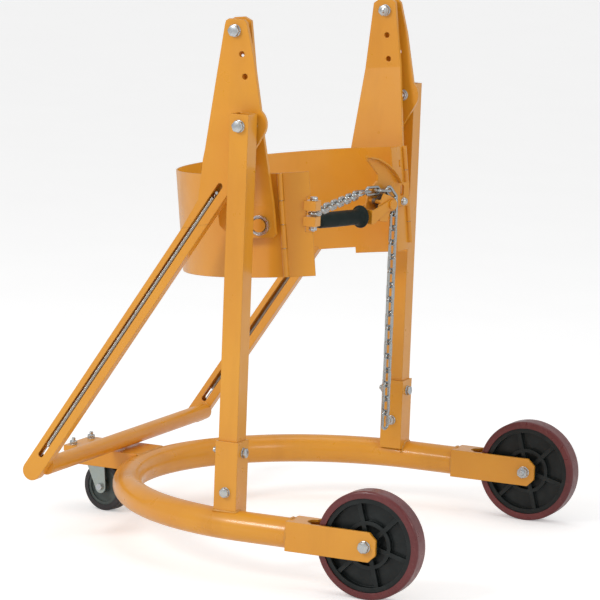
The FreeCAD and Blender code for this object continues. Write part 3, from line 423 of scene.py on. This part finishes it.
def lathe(profile, origin, axis, steps):
    """A closed solid of revolution from (along, radius) pairs; pairs on the axis close the ends."""
    axis = axis.normalized()
    first = axis.orthogonal().normalized()
    second = axis.cross(first)
    verts, faces = [], []
    rings = []
    for along, radius in profile:
        if radius < 1e-6:
            rings.append([len(verts)])
            verts.append(origin + axis * along)
            continue
        rings.append(list(range(len(verts), len(verts) + steps)))
        for turn in range(steps):
            angle = 2 * math.pi * turn / steps
            spoke = first * math.cos(angle) + second * math.sin(angle)
            verts.append(origin + axis * along + spoke * radius)
    for one, two in zip(rings, rings[1:]):
        for turn in range(steps):
            after = (turn + 1) % steps
            if len(one) == 1:
                faces.append((one[0], two[after], two[turn]))
            elif len(two) == 1:
                faces.append((one[turn], one[after], two[0]))
            else:
                faces.append((one[turn], one[after], two[after], two[turn]))
    return verts, faces


# ---- weld beads --------------------------------------------------------------------------------

BEAD_STEP, BEAD_SIDES = 0.0016, 8
RIPPLE_TURN, RIPPLE_SWELL, RIPPLE_CHANCE = 1.9, 0.13, 0.10


def bead(path, closed, size):
    """A weld bead: a tube whose radius swells and shrinks with each ripple."""
    dense = []
    count = len(path)
    spans = count if closed else count - 1
    for index in range(spans):
        one, two = path[index], path[(index + 1) % count]
        steps = max(1, int((two - one).length / BEAD_STEP))
        dense.extend(one.lerp(two, step / steps) for step in range(steps))
    if not closed:
        dense.append(path[-1])
    radii = [size * (1 + RIPPLE_SWELL * math.sin(index * RIPPLE_TURN) + RIPPLE_CHANCE * random.uniform(-1, 1))
             for index in range(len(dense))]
    return tube_mesh(dense, radii, BEAD_SIDES, closed)


def circle_path(centre, axis, radius, steps, start=0.0, sweep=360.0, first=None):
    """Points of a circle, or of an arc of it measured from the direction first."""
    axis = axis.normalized()
    first = (first or axis.orthogonal()).normalized()
    second = axis.cross(first)
    count = steps if sweep >= 360 else steps + 1
    return [centre + (first * math.cos(math.radians(start + sweep * i / steps)) +
                      second * math.sin(math.radians(start + sweep * i / steps))) * radius
            for i in range(count)]


BASE_Z, TRACK_Y, RING_R, FORK_REAR = 0.1016, 0.403, 0.0285, 0.2032
POST_X, POST_Y, SOCKET_HALF = 0.0692, 0.391, 0.023
SOCKET_BEAD, FORK_BEAD, BRACKET_BEAD, TUBE_BEAD = 0.0026, 0.0028, 0.003, 0.0022
BEAD_SINK, COPE_STEPS = 0.001, 8


def on_ring(x, y):
    """A point of the base tube's upper surface, on its straight leg."""
    return Vector((x, y, BASE_Z + math.sqrt(max(0.0, RING_R ** 2 - (abs(y) - TRACK_Y) ** 2))))


def add_base_welds(weld):
    """Beads round the sockets on the base tube, round the tube at the forks, and along the bracket."""
    parts = []
    for side in (NEAR, FAR):
        inner, outer = TRACK_Y - RING_R + BEAD_SINK, POST_Y + SOCKET_HALF
        rear, front = POST_X - SOCKET_HALF, POST_X + SOCKET_HALF
        ys = [inner + (outer - inner) * i / COPE_STEPS for i in range(COPE_STEPS + 1)]
        path = [on_ring(rear, side * y) for y in ys] + [on_ring(front, side * y) for y in reversed(ys)]
        parts.append(bead(path, False, SOCKET_BEAD))
        centre = Vector((FORK_REAR, side * TRACK_Y, BASE_Z))
        parts.append(bead(circle_path(centre, Vector((1, 0, 0)), RING_R, 40), True, FORK_BEAD))
    front, half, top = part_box("caster_bracket")[1]
    ends = [Vector((front, y, top - BRACKET_BEAD)) for y in (-half, half)]
    parts.append(bead(ends, False, BRACKET_BEAD))
    add_mesh("base_welds", *join_meshes(parts), weld, "orange_paint", "base")


ARM_ANGLE = math.radians(33.3)
ARM_DIR = Vector((-math.sin(ARM_ANGLE), 0, -math.cos(ARM_ANGLE)))
ARM_FRONT = Vector((math.cos(ARM_ANGLE), 0, -math.sin(ARM_ANGLE)))
SEAT_HALF_ANGLE, TUBE_BEAD_SINK = 106.0, 0.0008


def add_lever_welds(weld):
    """Fillet round the part of the cross tube's end that lies on each arm."""
    low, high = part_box("cross_tube")
    centre = (Vector(low) + Vector(high)) / 2
    radius = (high[2] - low[2]) / 2
    parts = []
    for side in (NEAR, FAR):
        spot = Vector((centre.x, side * (high[1] - TUBE_BEAD_SINK), centre.z))
        arc = circle_path(spot, Vector((0, 1, 0)), radius, 24,
                          -SEAT_HALF_ANGLE, 2 * SEAT_HALF_ANGLE, -ARM_FRONT)
        parts.append(bead(arc, False, TUBE_BEAD))
    add_mesh("lever_welds", *join_meshes(parts), weld, "orange_paint", "lever")


# ---- springs, grip ------------------------------------------------------------------------------

SPRING_LINE, SPRING_Y = 0.0190, 0.3585
SPRING_TOP, SPRING_END, SPRING_PEG_LOW, SPRING_PEG_TOP = 0.158, 0.766, 0.812, 0.148
SPRING_COIL_R, SPRING_WIRE_R, SPRING_PITCH, COIL_STEPS = 0.0039, 0.0011, 0.0027, 10
PEG_REACH, PEG_SIDE_STEP, LEAD_IN, LEAD_OUT, HOOK_LEAD, HOOK_R = 0.0042, 0.001, 0.002, 0.006, 0.012, 0.0044


def arm_spot(along, y):
    """A point on the slot's middle line, that far along the arm from the lever's pivot."""
    spot = LEVER_PIVOT + ARM_DIR * along + ARM_FRONT * SPRING_LINE
    return Vector((spot.x, y, spot.z))


def add_arm_springs(steel):
    """The long extension spring in each arm: wound wire, with a straight lead to the upper peg and a hook round
    the lower peg.
    """
    across = Vector((0, 1, 0))
    turns = int((SPRING_END - SPRING_TOP) / SPRING_PITCH)
    for name, side in (("near", NEAR), ("far", FAR)):
        y = side * SPRING_Y
        path = [arm_spot(SPRING_PEG_TOP + PEG_REACH, y) - ARM_FRONT * PEG_SIDE_STEP,
                arm_spot(SPRING_TOP - LEAD_IN, y)]
        for step in range(turns * COIL_STEPS + 1):
            angle = 2 * math.pi * step / COIL_STEPS
            spot = arm_spot(SPRING_TOP + SPRING_PITCH * step / COIL_STEPS, y)
            path.append(spot + (ARM_FRONT * math.cos(angle) + across * math.sin(angle)) * SPRING_COIL_R)
        path += [arm_spot(SPRING_END + LEAD_OUT, y), arm_spot(SPRING_PEG_LOW - HOOK_LEAD, y)]
        hook = arm_spot(SPRING_PEG_LOW, y)
        path += [hook + (ARM_FRONT * math.sin(a) - ARM_DIR * math.cos(a)) * HOOK_R
                 for a in (math.radians(d) for d in range(0, 271, 30))]
        verts, faces = tube_mesh(path, [SPRING_WIRE_R] * len(path), 6, False)
        piece = add_mesh("spring_coil_" + name, verts, faces, steel, "spring_steel", "lever")
        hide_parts("arm_spring_" + name)


# Distance from the ratchet pin and radius, along the grip: hand guard, then the end.
GRIP_DROP, GRIP_START, GRIP_END, GRIP_STEPS, GRIP_R, GRIP_BELLY = 0.022, 0.0800, 0.1820, 26, 0.0150, 0.0006
GRIP_GUARD = [(0.0662, 0.0), (0.0662, 0.0185), (0.0668, 0.0208), (0.0682, 0.0222), (0.0700, 0.0225),
              (0.0718, 0.0222), (0.0732, 0.0208), (0.0742, 0.0185), (0.0762, 0.0168), (0.0790, 0.0158)]
GRIP_CAP = [(0.1842, 0.0149), (0.1872, 0.0142), (0.1890, 0.0125), (0.1898, 0.0090), (0.1900, 0.0)]


def add_grip(rubber):
    """Moulded sleeve with a hand guard: soft edges, a slight belly and a domed end."""
    origin = RATCHET_PIN - Vector((0, 0, GRIP_DROP))
    shares = [step / GRIP_STEPS for step in range(GRIP_STEPS + 1)]
    belly = [(GRIP_START + (GRIP_END - GRIP_START) * share, GRIP_R + GRIP_BELLY * math.sin(share * math.pi))
             for share in shares]
    verts, faces = lathe(GRIP_GUARD + belly + GRIP_CAP, origin, -RATCHET_OUTWARD, 64)
    piece = add_mesh("grip_sleeve", verts, faces, rubber, "black_grip", "handle")
    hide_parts("handle_grip")


# ---- bolts and nuts -----------------------------------------------------------------------------

# Shapes of fasteners, as shares of the shank's radius or of the width across the flats.
FLATS_PER_RADIUS, HEAD_PER_RADIUS, NUT_PER_RADIUS, SHANK_SHARE, WASHER_SHARE = 3.3, 1.3, 1.6, 0.97, 0.60
CHAMFER_START, CHAMFER_END, HEX_STEPS = 0.97, 0.95, 48
ROOT_SHARE, TIP_SHARE, POINT_SHARE, POINT_LENGTH = 0.88, 0.86, 0.74, 0.0006
DOME_SHARE, DOME_RISE, DOME_WASHER, DOME_STEPS = 1.5, 0.85, 1.12, 10
WASHER_T, THREAD_PITCH, THREAD_OVERLAP, NUT_TURN = 0.0016, 0.00125, 0.001, 0.3
M8_R, M10_R, M12_R = 0.004, 0.005, 0.006


def hexagon(seat, outward, flats, height, both_ends=False, turn=0.0):
    """A hexagonal head or nut standing on seat, its corners rounded off by the usual 30 degree chamfer."""
    outward = outward.normalized()
    first = outward.orthogonal().normalized()
    second = outward.cross(first)
    steps, half = HEX_STEPS, flats / 2
    slope = math.tan(math.radians(30))
    rings = []
    angles = [2 * math.pi * i / steps for i in range(steps)]
    reach = [half / math.cos((a % (math.pi / 3)) - math.pi / 6) for a in angles]

    def ring(radii, levels):
        return [seat + outward * level + (first * math.cos(a + turn) + second * math.sin(a + turn)) * r
                for a, r, level in zip(angles, radii, levels)]

    drop = [(r - half * CHAMFER_START) * slope for r in reach]
    if both_ends:
        rings.append(ring([half * CHAMFER_END] * steps, [0.0] * steps))
        rings.append(ring(reach, drop))
    else:
        rings.append(ring(reach, [0.0] * steps))
    rings.append(ring(reach, [height - d for d in drop]))
    rings.append(ring([half * CHAMFER_END] * steps, [height] * steps))
    verts = [v for one in rings for v in one]
    faces = [tuple(reversed(range(steps)))]
    for level in range(len(rings) - 1):
        for i in range(steps):
            after = (i + 1) % steps
            a, b = level * steps, (level + 1) * steps
            faces.append((a + i, a + after, b + after, b + i))
    faces.append(tuple(range((len(rings) - 1) * steps, len(rings) * steps)))
    return verts, faces


def disc(seat, outward, radius, thickness):
    """A round plate with softly broken edges."""
    soft = min(0.0004, thickness / 4)
    return lathe([(0, 0), (0, radius - soft), (soft, radius), (thickness - soft, radius),
                  (thickness, radius - soft), (thickness, 0)], seat, outward, 40)


def thread(start, along, radius, length):
    """Screw thread as a stack of sharp rings, ending in a small chamfer."""
    profile = [(0.0, 0.0), (0.0, radius * ROOT_SHARE)]
    level = THREAD_PITCH / 2
    while level < length - THREAD_PITCH:
        profile += [(level, radius), (level + THREAD_PITCH / 2, radius * ROOT_SHARE)]
        level += THREAD_PITCH
    profile += [(length - POINT_LENGTH, radius * TIP_SHARE), (length, radius * POINT_SHARE), (length, 0.0)]
    return lathe(profile, start, along, 24)


def shank_and_nut(seat, outward, radius, grip, nut_height, spare, turn):
    """What is behind a bolt's head: shank, washer, nut, and the threads past the nut."""
    flats = radius * FLATS_PER_RADIUS
    back = seat - outward * grip
    nut_seat = back - outward * WASHER_T
    shank_r = radius * SHANK_SHARE
    tail = nut_seat - outward * (nut_height - THREAD_OVERLAP)
    return [lathe([(0, 0), (0, shank_r), (grip, shank_r), (grip, 0)], seat, -outward, 24),
            disc(back, -outward, flats * WASHER_SHARE, WASHER_T),
            hexagon(nut_seat, -outward, flats, nut_height, True, turn + NUT_TURN),
            thread(tail, -outward, radius, spare + THREAD_OVERLAP)]


def through_bolt(seat, outward, radius, grip, nut_height=None, spare=0.005, turn=0.0):
    """Bolt with its head on seat, a washer under head and nut, and threads past the nut."""
    flats = radius * FLATS_PER_RADIUS
    head_height = radius * HEAD_PER_RADIUS
    nut_height = nut_height or radius * NUT_PER_RADIUS
    return [disc(seat, outward, flats * WASHER_SHARE, WASHER_T),
            hexagon(seat + outward * WASHER_T, outward, flats, head_height, False, turn),
            *shank_and_nut(seat, outward, radius, grip, nut_height, spare, turn)]


def collar(x, z, start_y, end_y, outer):
    """A spacer or boss across the machine, solid because its bolt fills it."""
    start, end = Vector((x, start_y, z)), Vector((x, end_y, z))
    return disc(start, end - start, outer, (end - start).length)


LATERAL_BOLT_Z, FORE_AFT_BOLT_Z = {NEAR: 0.164, FAR: 0.177}, 0.238
PIVOT_SEAT_Y, PIVOT_GRIP, PIVOT_NUT_HEIGHT = 0.410, 0.0533, 0.0080
PIVOT_COLLAR_IN, PIVOT_COLLAR_OUT, PIVOT_COLLAR_R = 0.3654, 0.3719, 0.017
AXLE_SEAT_Y, AXLE_GRIP, HUB_WASHER_OFF, HUB_WASHER_R, HUB_WASHER_T = 0.433, 0.060, 0.024, 0.012, 0.002


def add_base_bolts(steel):
    """Two bolts through each socket, the lever's pivot bolt and the wheel's axle, on each side."""
    parts = []
    wheel = Vector(JOINTS["near_wheel_turn"]["pos_m"])
    for side in (NEAR, FAR):
        out = Vector((0, side, 0))
        seat = Vector((POST_X, side * (POST_Y + SOCKET_HALF), LATERAL_BOLT_Z[side]))
        parts += through_bolt(seat, out, M10_R, 2 * SOCKET_HALF, turn=0.2 * side)
        seat = Vector((POST_X + SOCKET_HALF, side * POST_Y, FORE_AFT_BOLT_Z))
        parts += through_bolt(seat, Vector((1, 0, 0)), M10_R, 2 * SOCKET_HALF, turn=0.35)
        seat = Vector((LEVER_PIVOT.x, side * PIVOT_SEAT_Y, LEVER_PIVOT.z))
        parts += through_bolt(seat, out, M12_R, PIVOT_GRIP, PIVOT_NUT_HEIGHT, spare=0.001, turn=0.1)
        ends = side * PIVOT_COLLAR_IN, side * PIVOT_COLLAR_OUT
        parts.append(collar(seat.x, seat.z, *ends, PIVOT_COLLAR_R))
        seat = Vector((wheel.x, side * AXLE_SEAT_Y, wheel.z))
        parts += through_bolt(seat, out, M12_R, AXLE_GRIP, spare=0.003, turn=0.5)
        for face in (-1, 1):
            spot = Vector((wheel.x, side * TRACK_Y + face * HUB_WASHER_OFF, wheel.z))
            parts.append(disc(spot, Vector((0, -face, 0)), HUB_WASHER_R, HUB_WASHER_T))
    piece = add_mesh("base_bolt_set", *join_meshes(parts), steel, "zinc_hardware", "base")
    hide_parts("socket_bolts", "pivot_bolts", "pivot_nuts", "wheel_axles")


CASTER_PLATE_T, CASTER_BOLT_INSET = 0.004, 0.0066


def add_caster_bolts(steel):
    """Four bolts up through the caster's plate and the bracket, nuts on top."""
    low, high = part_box("caster_bolts")
    plate_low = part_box("caster_plate")[1][2] - CASTER_PLATE_T
    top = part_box("caster_bracket")[1][2]
    down = Vector((0, 0, -1))
    parts = []
    for x in (low[0] + CASTER_BOLT_INSET, high[0] - CASTER_BOLT_INSET):
        for y in (low[1] + CASTER_BOLT_INSET, high[1] - CASTER_BOLT_INSET):
            seat = Vector((x, y, plate_low))
            parts += through_bolt(seat, down, M8_R, top - plate_low, spare=0.006, turn=x + y)
    piece = add_mesh("caster_bolt_set", *join_meshes(parts), steel, "zinc_hardware", "base")
    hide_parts("caster_bolts")


HANGER_SEAT_Y, HANGER_GRIP = 0.365, 0.0313
HANGER_COLLAR_IN, HANGER_COLLAR_OUT, HANGER_COLLAR_R = 0.3424, 0.3569, 0.014


def add_hanger_bolts(steel):
    """The bolt at the top of each lever plate that carries the hanger, with a spacer between them."""
    parts = []
    for side in (NEAR, FAR):
        seat = Vector((HANGER_PIVOT.x, side * HANGER_SEAT_Y, HANGER_PIVOT.z))
        parts += through_bolt(seat, Vector((0, side, 0)), M12_R, HANGER_GRIP, spare=0.002, turn=0.25)
        ends = side * HANGER_COLLAR_IN, side * HANGER_COLLAR_OUT
        parts.append(collar(seat.x, seat.z, *ends, HANGER_COLLAR_R))
    piece = add_mesh("hanger_bolt_set", *join_meshes(parts), steel, "zinc_hardware", "lever")
    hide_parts("hanger_bolts", "hanger_nuts")


def dome_bolt(seat, outward, radius, grip):
    """Domed cap on a washer in front, a shank through, and a washer and nut behind."""
    cap = radius * DOME_SHARE
    height = cap * DOME_RISE
    angles = [math.pi / 2 * step / DOME_STEPS for step in range(DOME_STEPS)]
    profile = [(0, 0)] + [(height * math.sin(a), cap * math.cos(a)) for a in angles] + [(height, 0)]
    return [disc(seat, outward, cap * DOME_WASHER, WASHER_T),
            lathe(profile, seat + outward * WASHER_T, outward, 40),
            *shank_and_nut(seat, outward, radius, grip, radius * NUT_PER_RADIUS, 0.003, 0.0)]


LINK_BOLT_OUT, LINK_BOLT_SEAT, LINK_BOLT_DROP, LINK_BOLT_GRIP = 0.069, 0.013, 0.002, 0.023


def add_gate_bolts(steel):
    """The clevis bolt on the near flap, and the domed bolt that holds the ratchet to the far flap."""
    clevis = Vector(JOINTS["chain_swing"]["pos_m"])
    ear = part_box("chain_clevis")[1][2] - clevis.z
    parts = through_bolt(clevis + Vector((0, 0, ear)), Vector((0, 0, 1)), M8_R, 2 * ear, spare=0.002)
    piece = add_mesh("clevis_bolt_set", *join_meshes(parts), steel, "zinc_hardware", "near_gate")
    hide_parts("clevis_bolt")
    seat = (RATCHET_PIN + RATCHET_OUTWARD * LINK_BOLT_OUT - RATCHET_AXIS * LINK_BOLT_SEAT -
            Vector((0, 0, LINK_BOLT_DROP)))
    parts = dome_bolt(seat, RATCHET_AXIS, M10_R, LINK_BOLT_GRIP)
    piece = add_mesh("link_bolt_set", *join_meshes(parts), steel, "zinc_hardware", "far_gate")
    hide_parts("link_bolt")


# ---- making ------------------------------------------------------------------------------------

add_camera()
add_studio()
materials = make_materials()
dress_cad(materials)
add_base_welds(materials["weld"])
add_lever_welds(materials["weld"])
add_arm_springs(materials["spring_steel"])
add_grip(materials["black_grip"])
add_base_bolts(materials["zinc_hardware"])
add_caster_bolts(materials["zinc_hardware"])
add_hanger_bolts(materials["zinc_hardware"])
add_gate_bolts(materials["zinc_hardware"])
